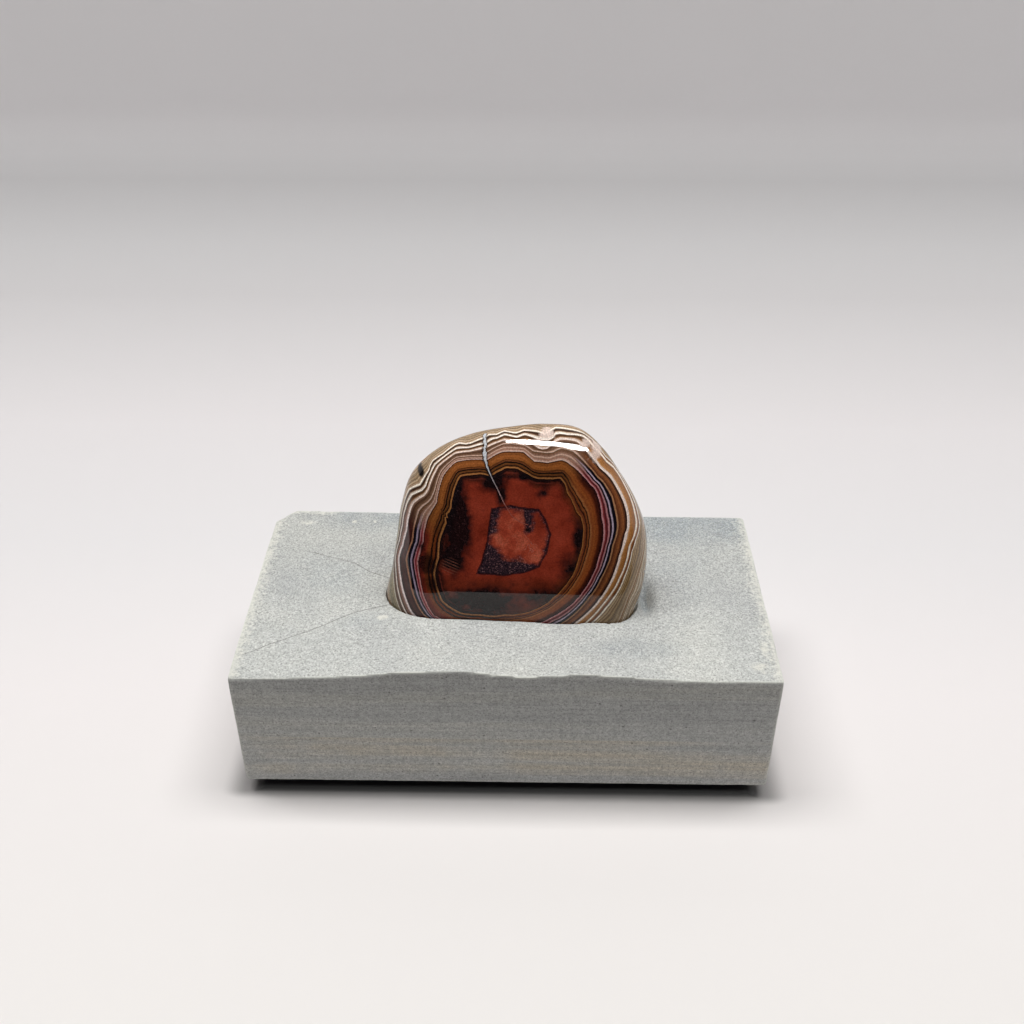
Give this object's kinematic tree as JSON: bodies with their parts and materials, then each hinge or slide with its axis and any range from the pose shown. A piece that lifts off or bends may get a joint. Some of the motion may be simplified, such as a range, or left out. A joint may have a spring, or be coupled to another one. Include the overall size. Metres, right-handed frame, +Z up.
{
  "type": "polished agate on a stone block",
  "caption": "Banded agate with a flat polished face and rounded edges, standing in a close-fitting recess in the top of a small sawn stone block on low round feet.",
  "frame": {"origin": "on the surface that the feet stand on, under the middle of the block", "axes": "+X to the right along the block as seen from the agate's flat polished face, +Y away from that face towards the back of the block, +Z up"},
  "size_m": [0.13, 0.068, 0.085],
  "materials": {
    "agate": "polished",
    "stone_block": "matt, sawn sides and a natural split top",
    "foot": "matt"
  },
  "bodies": {
    "root": {"agate": "agate", "stone_block": "stone_block", "foot_front_left": "foot", "foot_front_right": "foot", "foot_back_left": "foot", "foot_back_right": "foot"}
  },
  "joints": []
}
